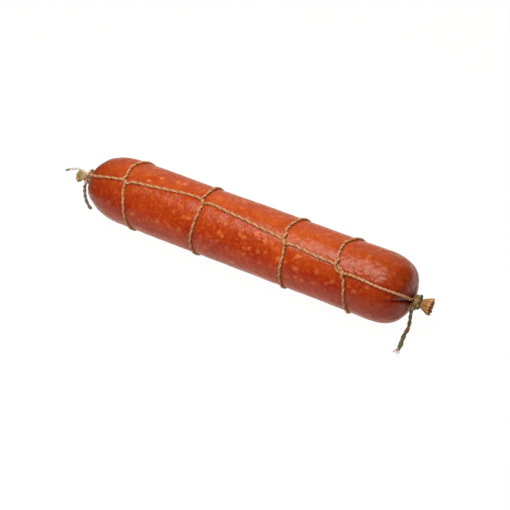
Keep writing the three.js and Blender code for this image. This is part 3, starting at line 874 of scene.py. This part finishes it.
def sausage_body():
    s2, c2 = np.meshgrid(S, COLS, indexing="ij")
    a = np.radians(column_angle(s2, c2))
    pos = on_casing(s2, a)
    along, away = profile_normal(s2)
    normal = np.stack([along, -away * np.cos(a), away * np.sin(a)], -1)
    mid = noise3(pos / [9.5, 7.5, 7.5], 31)
    fine = noise3(pos / [4.2, 3.6, 3.6], 37)
    # the casing is slacker beyond the last ring, and a little all over
    slack = 0.13 + 0.26 * smooth(103, 112, s2) * smooth(20, 45, np.degrees(a)) * smooth(130, 100, np.degrees(a))
    slack = slack + 0.12 * smooth(-118, -135, s2)
    fade = smooth(157.5, 150, np.abs(s2))
    push = fade * (slack * mid + 0.8 * slack * fine)
    # shallow lengthways furrows at the ends, running into the gathers
    ends = smooth(122, 156, np.abs(s2))
    seed = np.where(s2 < 0, 1.3, 4.1)
    off_y, off_z = droop(s2)
    here = np.hypot(pos[..., 1] - off_y, pos[..., 2] - off_z)
    gather = folded(a, np.where(s2 < 0, 13, 14), seed)
    reach = np.clip(1 - here / 15.5, 0, 1) ** 1.3 * (np.abs(s2) < HALF + 3)
    long_ = folded(a, np.where(s2 < 0, 6, 7), seed + 1.9) ** 1.5
    push = push - 1.15 * reach * gather - 0.5 * ends * long_ * smooth(8, 16, here) * smooth(29.5, 22, here)
    # painted shade in the valleys of the gathers, the furrows and the creases
    painted_fold_shade = 0.75 * reach * gather ** 1.5 + 0.12 * ends * long_ * smooth(29, 18, here)
    # one deeper crease under the run at the right-hand end
    deg = np.degrees(a)
    line_ = 24.5 - 3.0 * smooth(150, 158, s2) + 0.8 * np.sin(s2 / 2.2)
    gap = (deg - line_) * np.pi / 180 * np.maximum(here, 4)
    crease = smooth(143, 150, s2) * (s2 < 160) * np.exp(-((gap / 0.75) ** 2))
    push = push - 0.85 * crease
    painted_fold_shade = np.maximum(painted_fold_shade, 0.85 * crease)
    wedge = smooth(150, 157, s2) * smooth(20, 24, deg) * smooth(37, 31, deg) * (s2 < 160)
    push = push - 0.6 * wedge
    painted_fold_shade = np.maximum(painted_fold_shade, 0.6 * wedge)

    # the left-hand end sags a little under its tie
    push = push + 1.3 * smooth(-146, -155, s2) * np.exp(-(((deg + 10) / 42) ** 2)) * smooth(5, 11, here)
    push = push + 1.3 * smooth(-146, -155, s2) * np.exp(-(((deg - 350) / 42) ** 2)) * smooth(5, 11, here)

    # where the twine presses
    tree_points = np.vstack([line[cut_left:cut_right:1], second[: len(second) - 38]])
    firm = np.r_[np.full(cut_right - cut_left, 1.0), np.full(len(second) - 38, 1.0)]
    # rings are drawn tighter than the runs: the direction across the body tells them apart
    way = np.vstack([np.gradient(line[cut_left:cut_right], axis=0), np.gradient(second[: len(second) - 38], axis=0)])
    across = 1 - np.abs(way[:, 0]) / np.linalg.norm(way, axis=1)
    tree = KDTree(len(tree_points))
    for i, p in enumerate(tree_points):
        tree.insert(p, i)
    tree.balance()
    flat = pos.reshape(-1, 3)
    near = np.array([tree.find(p)[1:] for p in flat])
    idx, dist = near[:, 0].astype(int), near[:, 1]
    d = flat - tree_points[idx]
    nrm = normal.reshape(-1, 3)
    hgt = -(d * nrm).sum(1)
    lat = np.sqrt(np.maximum(dist**2 - hgt**2, 0))
    body = smooth(159.5, 156, np.abs(flat[:, 0]))
    contact = smooth(2.4, 1.2, hgt)
    broad = 0.08 + 0.30 * across[idx]
    dent = np.clip(0.90 - hgt - broad, 0, 3.2) * np.exp(-((lat / 2.0) ** 2))
    dent += contact * broad * np.exp(-((lat / 7.5) ** 2))
    dent *= body
    # painted shade: how strongly the casing beside and under the twine is darkened
    painted_twine_shade = ((np.exp(-((lat / 1.9) ** 2)) + 0.34 * np.exp(-((lat / 4.6) ** 2))) * contact * body).reshape(s2.shape)
    push = push - dent.reshape(s2.shape)
    pos = pos + push[..., None] * normal
    pos[..., 2] = np.maximum(pos[..., 2], -AXIS_HEIGHT)
    dry = smooth(157.9, 160.5, np.abs(s2))
    rows = [pos]
    extra = {"dry": [dry], "painted_fold_shade": [painted_fold_shade], "painted_twine_shade": [painted_twine_shade * (1 - dry)]}

    # tufts: the gathered casing past the ties, folded and open at its end
    out = {}
    for sign in (-1, 1):
        ts, tr, tt, inside = tuft_profile(sign)
        s3, c3 = np.meshgrid(ts, COLS, indexing="ij")
        r3 = np.broadcast_to(tr[:, None], s3.shape)
        t3 = np.broadcast_to(tt[:, None], s3.shape)
        a3 = np.radians(column_angle(np.full_like(s3, sign * HALF), c3))
        f3 = 0.62 * folded(a3, 15 if sign < 0 else 17, 4.1 if sign > 0 else 1.3)
        f3 = np.clip(1.25 * (f3 + 0.5 * folded(a3, 7 if sign < 0 else 8, 2.2 if sign > 0 else 3.1)), 0, 1)
        rise = smooth(NECK_END - 0.5, 172.5, np.abs(s3))
        rad_ = r3 * (1 - (0.30 if sign > 0 else 0.34) * rise * f3)
        rad_ = rad_ + rise * 0.55 * noise3(np.stack([s3 / 3, np.cos(a3) * 2.2, np.sin(a3) * 2.2], -1), 43 + sign)
        rim = smooth(4, 7, r3) * rise * (1.0 * noise3(np.stack([np.cos(a3) * 2.6, np.sin(a3) * 2.6, 0 * a3 + sign * 3.3], -1), 51) - 0.5 * f3)
        p3 = np.stack([s3 + sign * rim, -rad_ * np.cos(a3), rad_ * np.sin(a3)], -1)
        lean = smooth(NECK_END, 175, np.abs(s3))
        off_y, off_z = droop(s3)
        p3[..., 1] += off_y + lean * (-0.4 if sign < 0 else 0.3)
        p3[..., 2] += off_z + lean * (-2.0 if sign < 0 else -0.3)
        inner = np.broadcast_to(inside[:, None], s3.shape)
        # the mouth is crumpled, with painted shade in its folds and further in
        crumple = noise3(np.stack([np.cos(a3) * r3 / 1.5, np.sin(a3) * r3 / 1.5, 0 * a3 + 9.1 * sign], -1), 57)
        painted_mouth_shade = np.clip(1 - r3 / 6.0, 0, 1)
        p3[..., 0] += np.where(inner, sign * 0.9 * crumple * smooth(0.2, 1.6, r3) * smooth(7.4, 6.0, r3), 0)
        f = np.where(inner, np.clip(0.12 + 0.45 * f3 + 0.7 * painted_mouth_shade - 0.35 * crumple, 0, 1), 0.72 * f3) * rise
        out[sign] = (p3, f)
    left, lf = out[-1]
    right, rf = out[1]
    pos = np.concatenate([left[::-1], pos, right], 0)
    n_left, n_right = len(left), len(right)
    dry = np.concatenate([np.ones(left.shape[:2]), dry, np.ones(right.shape[:2])])
    painted_fold_shade = np.concatenate([lf[::-1], painted_fold_shade, rf])
    painted_twine_shade = np.concatenate([np.zeros(left.shape[:2]), painted_twine_shade * (1 - smooth(157, 159, np.abs(s2))), np.zeros(right.shape[:2])])

    # flecks of fat under the casing
    sx = pos[..., 0]
    ang = np.degrees(np.arctan2(pos[..., 2], -pos[..., 1]))
    fat, pale = np.zeros(sx.shape), np.full(sx.shape, 0.5)
    wob = noise3(pos / 1.7, 61)
    rng = np.random.default_rng(11)
    marks = list(FLECKS)
    tries = 0
    while len(marks) < len(FLECKS) + 235:
        tries += 1
        s, p = rng.uniform(-135, 150), rng.uniform(104, 314)
        keep = 0.35 + 0.65 * smooth(-120, -60, s)
        if rng.uniform() > keep:
            continue
        marks.append((s, p, rng.uniform(0.85, 2.05), rng.uniform(1.0, 1.7), rng.uniform(0, 180), 0.95 * rng.uniform(0.2, 1.0) ** 1.4))
    for s, p, r, el, turn, strength in marks:
        ds = sx - s
        dw = (ang - p + 180) % 360 - 180
        m = (np.abs(ds) < 2.6 * r) & (np.abs(dw) < math.degrees(2.6 * r / 24))
        if not m.any():
            continue
        u, w = ds[m], np.radians(dw[m]) * 30
        t = math.radians(turn)
        x, y = (u * math.cos(t) + w * math.sin(t)) / (r * el**0.5), (-u * math.sin(t) + w * math.cos(t)) / (r / el**0.5)
        q = np.hypot(x, y) + 0.22 * wob[m]
        field = np.clip(1.5 - q, 0, 1)
        more = field > fat[m]
        fat[m] = np.where(more, field, fat[m])
        pale[m] = np.where(more, strength, pale[m])
    fat *= 1 - dry
    # on the dry ends the same channel says how bleached the casing is: most on the left-hand neck
    bleach = np.where(sx < 0, 1.0 - 0.78 * smooth(-170.4, -172.4, sx), 0.15)
    pale = np.where(dry > 0.5, bleach, pale)
    # partly the casing's own deeper tone and partly painted shade: darker towards the ends, most towards the right-hand
    # end
    end = 1 - np.where(sx < 0, 0.16, 0.36) * smooth(62, 152, np.abs(sx)) - 0.14 * smooth(140, 158, np.abs(sx))

    n, k = pos.shape[:2]
    i = np.arange(n - 1)[:, None] * k
    j = np.arange(k)[None, :]
    j2 = (j + 1) % k
    quads = np.stack([i + j, i + k + j, i + k + j2, i + j2], -1).reshape(-1, 4)
    verts = pos.reshape(-1, 3)
    # close the two mouths' middles
    faces = quads.tolist()
    centre0, centre1 = len(verts), len(verts) + 1
    verts = np.vstack([verts, pos[0].mean(0), pos[-1].mean(0)])
    last = (n - 1) * k
    faces += [[centre0, x, (x + 1) % k] for x in range(k)]
    faces += [[centre1, last + (x + 1) % k, last + x] for x in range(k)]
    attrs = {}
    for key, v in (("fat", fat), ("pale", pale), ("dry", dry), ("painted_fold_shade", painted_fold_shade), ("end", end), ("painted_twine_shade", painted_twine_shade)):
        v = np.clip(v.ravel(), 0, 1)
        attrs[key] = np.r_[v, v[0], v[-1]]
    return make_object("sausage_body", verts, faces, attrs, CASING)


# Flecks that show most: station, angle, radius, how long for its width, its turn, how pale
FLECKS = [
    (-84.1, 89.1, 2, 1.05, -58, 0.96), (-69.1, 93.5, 2, 1.14, -58, 0.70), (-62.3, 96.1, 2.4, 1.05, -58, 0.76),
    (-92.9, 74.7, 1.7, 1.13, 23, 0.87), (-97.8, 85.2, 2, 1.02, -57, 0.20), (-57.9, 39.1, 1.4, 1.05, 19, 0.34),
    (-97.9, 9.7, 1.9, 1.19, 21, 0.54), (-72.1, 12.7, 1.8, 1.18, 20, 0.45), (-47.9, 37, 1.6, 1.55, 19, 0.59),
    (-42.6, 37.9, 1.7, 1.66, 19, 0.79), (-63.7, 53.9, 1.4, 1.31, 20, 0.16), (-50.1, 13.2, 1.8, 1.27, 20, 0.26),
    (-60.3, 13.5, 1.3, 1.04, 20, 0.24), (-11.5, 33.3, 1.7, 1.1, 19, 0.88), (-8.2, 29, 1.3, 1.18, -76, 1.00),
    (-11.5, 20.3, 1.2, 1.05, -80, 0.39), (-16.2, 15.1, 1.4, 1.15, 20, 0.20), (-6.1, 105.6, 2.5, 1.3, -61, 0.44),
    (-3, 88.4, 1.9, 1.07, 29, 0.26), (-12.7, 101.3, 2, 1.58, -60, 0.32), (6.7, 42.8, 1.6, 1.08, -69, 0.81),
    (11.2, 39.9, 1.7, 1.41, 19, 0.61), (21.2, 52.9, 2.2, 1.14, 20, 1.00), (27.3, 54.2, 1.7, 1.32, 20, 0.32),
    (31, 46.3, 1.6, 1.14, -68, 0.39), (37.4, 45.5, 1.4, 1.16, 19, 0.49), (41.8, 42.5, 1.3, 1.04, -70, 0.29),
    (45, 40.5, 1.2, 1.46, 19, 0.27), (18.5, 26, 1.5, 1.11, 20, 0.72), (13.7, 24.4, 1.3, 1.29, 20, 0.50),
    (26.9, 26.5, 1.8, 1.18, -76, 0.41), (34, 28.8, 1.4, 1.16, -75, 0.57), (46.7, 26.7, 2.7, 1.15, 20, 0.89),
    (62.4, 40.5, 2, 1.46, 20, 0.83), (63.2, 21.5, 2, 1.29, 21, 0.61), (53.1, 25.7, 1.3, 1.03, 20, 0.23),
    (70.6, 4.4, 1.6, 1.09, 24, 0.55), (56.4, 1, 1.8, 1.1, 24, 0.23), (64.2, 7.5, 1.5, 1.04, -85, 0.20),
    (82.2, 29.7, 1.9, 1.21, -75, 0.44), (97, 22.6, 1.9, 1.23, 21, 0.48), (81.9, 9.1, 1.7, 1.31, 23, 0.16),
    (92.4, 16.3, 1.4, 1.14, 21, 0.16), (117.5, 20.4, 1.8, 1.21, 21, 0.55), (111.8, 25.3, 1.4, 1.17, 21, 0.48),
    (123.6, 25.4, 1.1, 1.06, -76, 0.43), (127.3, 33.4, 1.3, 1.39, 20, 0.55), (117.6, 74.1, 1.8, 1.03, -64, 1.00),
    (121.7, 74.5, 1.3, 1.02, -64, 0.42), (117.8, 82.9, 1.1, 1.14, -64, 0.56), (69.3, 89.5, 1.7, 1.28, -63, 0.47),
    (63.5, 76.7, 1.5, 1.32, -63, 0.26), (56.2, 82.7, 1.4, 1.08, -62, 0.16), (75.7, 100.5, 2.1, 1.02, -63, 0.44),
    (139.4, 91.8, 1.6, 1.09, -66, 0.23), (134.4, 73.7, 1.7, 1.03, 28, 0.37), (128.2, 77, 1.6, 1.19, 26, 0.38),
    (145.4, 28.8, 1.2, 1.03, 18, 0.39), (2.3, -15.4, 1.8, 1.26, 30, 0.24), (-22.8, -2.2, 2, 1.25, 24, 0.30),
    (-74.4, -43.1, 1.5, 2, 50, 0.24), (51.6, 72.1, 1.6, 1.08, -63, 0.23), (68.8, 70.8, 1.8, 1.07, -63, 0.18),
    (150.4, 62.4, 1.9, 1.17, 47, 0.19), (-8.9, 49.7, 1.4, 1.16, 20, 0.27), (-28.2, 15.8, 1.6, 1.05, -84, 0.21),
    (-27, 92.9, 2.6, 1.25, -59, 0.26), (-87.4, 58.2, 1.4, 1.22, 20, 0.39), (-99.8, 49.9, 1.3, 1.19, 19, 0.13),
    (18.6, 104.5, 2, 1.19, -62, 0.36), (31.5, 99.9, 1.8, 1.04, -62, 0.32), (91.3, 101.2, 1.7, 1.36, -64, 0.28),
]

body = sausage_body()

# ---------------------------------------------------------------- what rides and replaces what
for ob in (body, twine_tied, twine_end_left, twine_end_right):
    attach(ob, "root")
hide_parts("sausage")
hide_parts("twine_net")
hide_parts("tail_left")
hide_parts("tail_right")


# ---------------------------------------------------------------- floor, backdrop and light


def plain(name, colour, glow, tint=(1, 1, 1)):
    mat = bpy.data.materials.new(name)
    mat.use_nodes = True
    b = mat.node_tree.nodes["Principled BSDF"]
    b.inputs["Base Color"].default_value = (*colour, 1)
    b.inputs["Roughness"].default_value = 0.9
    b.inputs["Specular IOR Level"].default_value = 0.0
    b.inputs["Emission Color"].default_value = (*tint, 1)
    b.inputs["Emission Strength"].default_value = glow
    return mat


me = bpy.data.meshes.new("floor")
me.from_pydata([(-9, -9, -0.0002), (9, -9, -0.0002), (9, 9, -0.0002), (-9, 9, -0.0002)], [], [(0, 1, 2, 3)])
me.materials.append(plain("floor_white", (0.05, 0.05, 0.05), 0.975))
floor = bpy.data.objects.new("floor", me)
bpy.context.scene.collection.objects.link(floor)
# what the camera sees of the floor is whiter than the light it throws back up
me = bpy.data.meshes.new("bounce")
me.from_pydata([(-9, -9, -0.0004), (9, -9, -0.0004), (9, 9, -0.0004), (-9, 9, -0.0004)], [], [(0, 1, 2, 3)])
me.materials.append(plain("bounce_white", (0.30, 0.30, 0.30), 0.40))
bounce = bpy.data.objects.new("bounce", me)
bpy.context.scene.collection.objects.link(bounce)
bounce.visible_camera = False
bounce.visible_glossy = False
for flag in ("visible_diffuse", "visible_glossy", "visible_transmission", "visible_shadow"):
    setattr(floor, flag, False)
# the near part of it is what the glossy casing mirrors
me = bpy.data.meshes.new("mirrored")
me.from_pydata([(-0.20, -0.13, -0.0004), (0.55, -0.13, -0.0004), (0.55, 0.10, -0.0004), (-0.20, 0.10, -0.0004),
                (1.2, 0.10, -0.0004), (1.2, 4.0, -0.0004), (-2.2, 4.0, -0.0004), (-0.30, 0.10, -0.0004)], [],
               [(0, 1, 2, 3), (7, 4, 5, 6)])
me.materials.append(plain("mirrored_white", (0.0, 0.0, 0.0), 0.90, (1.0, 0.92, 0.80)))
mirrored = bpy.data.objects.new("mirrored", me)
bpy.context.scene.collection.objects.link(mirrored)
for flag in ("visible_camera", "visible_diffuse", "visible_transmission", "visible_shadow"):
    setattr(mirrored, flag, False)

# a white surround that only the camera meets, so that low views are white too
ring_n = 48
verts, faces = [], []
for i in range(ring_n):
    a = 2 * math.pi * i / ring_n
    for r, z in ((8.9, -0.1), (8.9, 6.0)):
        verts.append((r * math.cos(a), r * math.sin(a), z))
for i in range(ring_n):
    j = (i + 1) % ring_n
    faces.append((2 * i, 2 * j, 2 * j + 1, 2 * i + 1))
me = bpy.data.meshes.new("surround")
me.from_pydata(verts, [], faces)
me.materials.append(plain("surround_white", (0, 0, 0), 1.0))
surround = bpy.data.objects.new("surround", me)
bpy.context.scene.collection.objects.link(surround)
for flag in ("visible_diffuse", "visible_glossy", "visible_transmission", "visible_volume_scatter", "visible_shadow"):
    setattr(surround, flag, False)


def lamp(name, place, target, size, watts, colour=(1, 1, 1)):
    data = bpy.data.lights.new(name, "AREA")
    data.shape, data.size, data.size_y = "RECTANGLE", size[0], size[1]
    data.energy, data.color = watts, colour
    ob = bpy.data.objects.new(name, data)
    bpy.context.scene.collection.objects.link(ob)
    place, target = Vector(place), Vector(target)
    ob.location = place
    ob.visible_camera = False
    ob.rotation_euler = (target - place).to_track_quat("-Z", "Y").to_euler()
    return ob


lamp("overhead", (-0.03, -0.17, 0.70), (0.0, 0, 0.03), (0.46, 0.46), 4.46, (1.0, 0.95, 0.85))
lamp("behind", (-0.3, 1.15, 0.62), (0.0, 0, 0.03), (2.2, 0.9), 3.35, (0.93, 1.0, 0.97))

world = bpy.data.worlds.new("studio")
bpy.context.scene.world = world
world.use_nodes = True
world.node_tree.nodes["Background"].inputs["Color"].default_value = (1.0, 0.96, 0.86, 1)
world.node_tree.nodes["Background"].inputs["Strength"].default_value = 0.06

bpy.context.scene.view_settings.view_transform = "Standard"
bpy.context.scene.view_settings.look = "None"
bpy.context.scene.view_settings.exposure = 0.0
bpy.context.scene.view_settings.gamma = 1.0
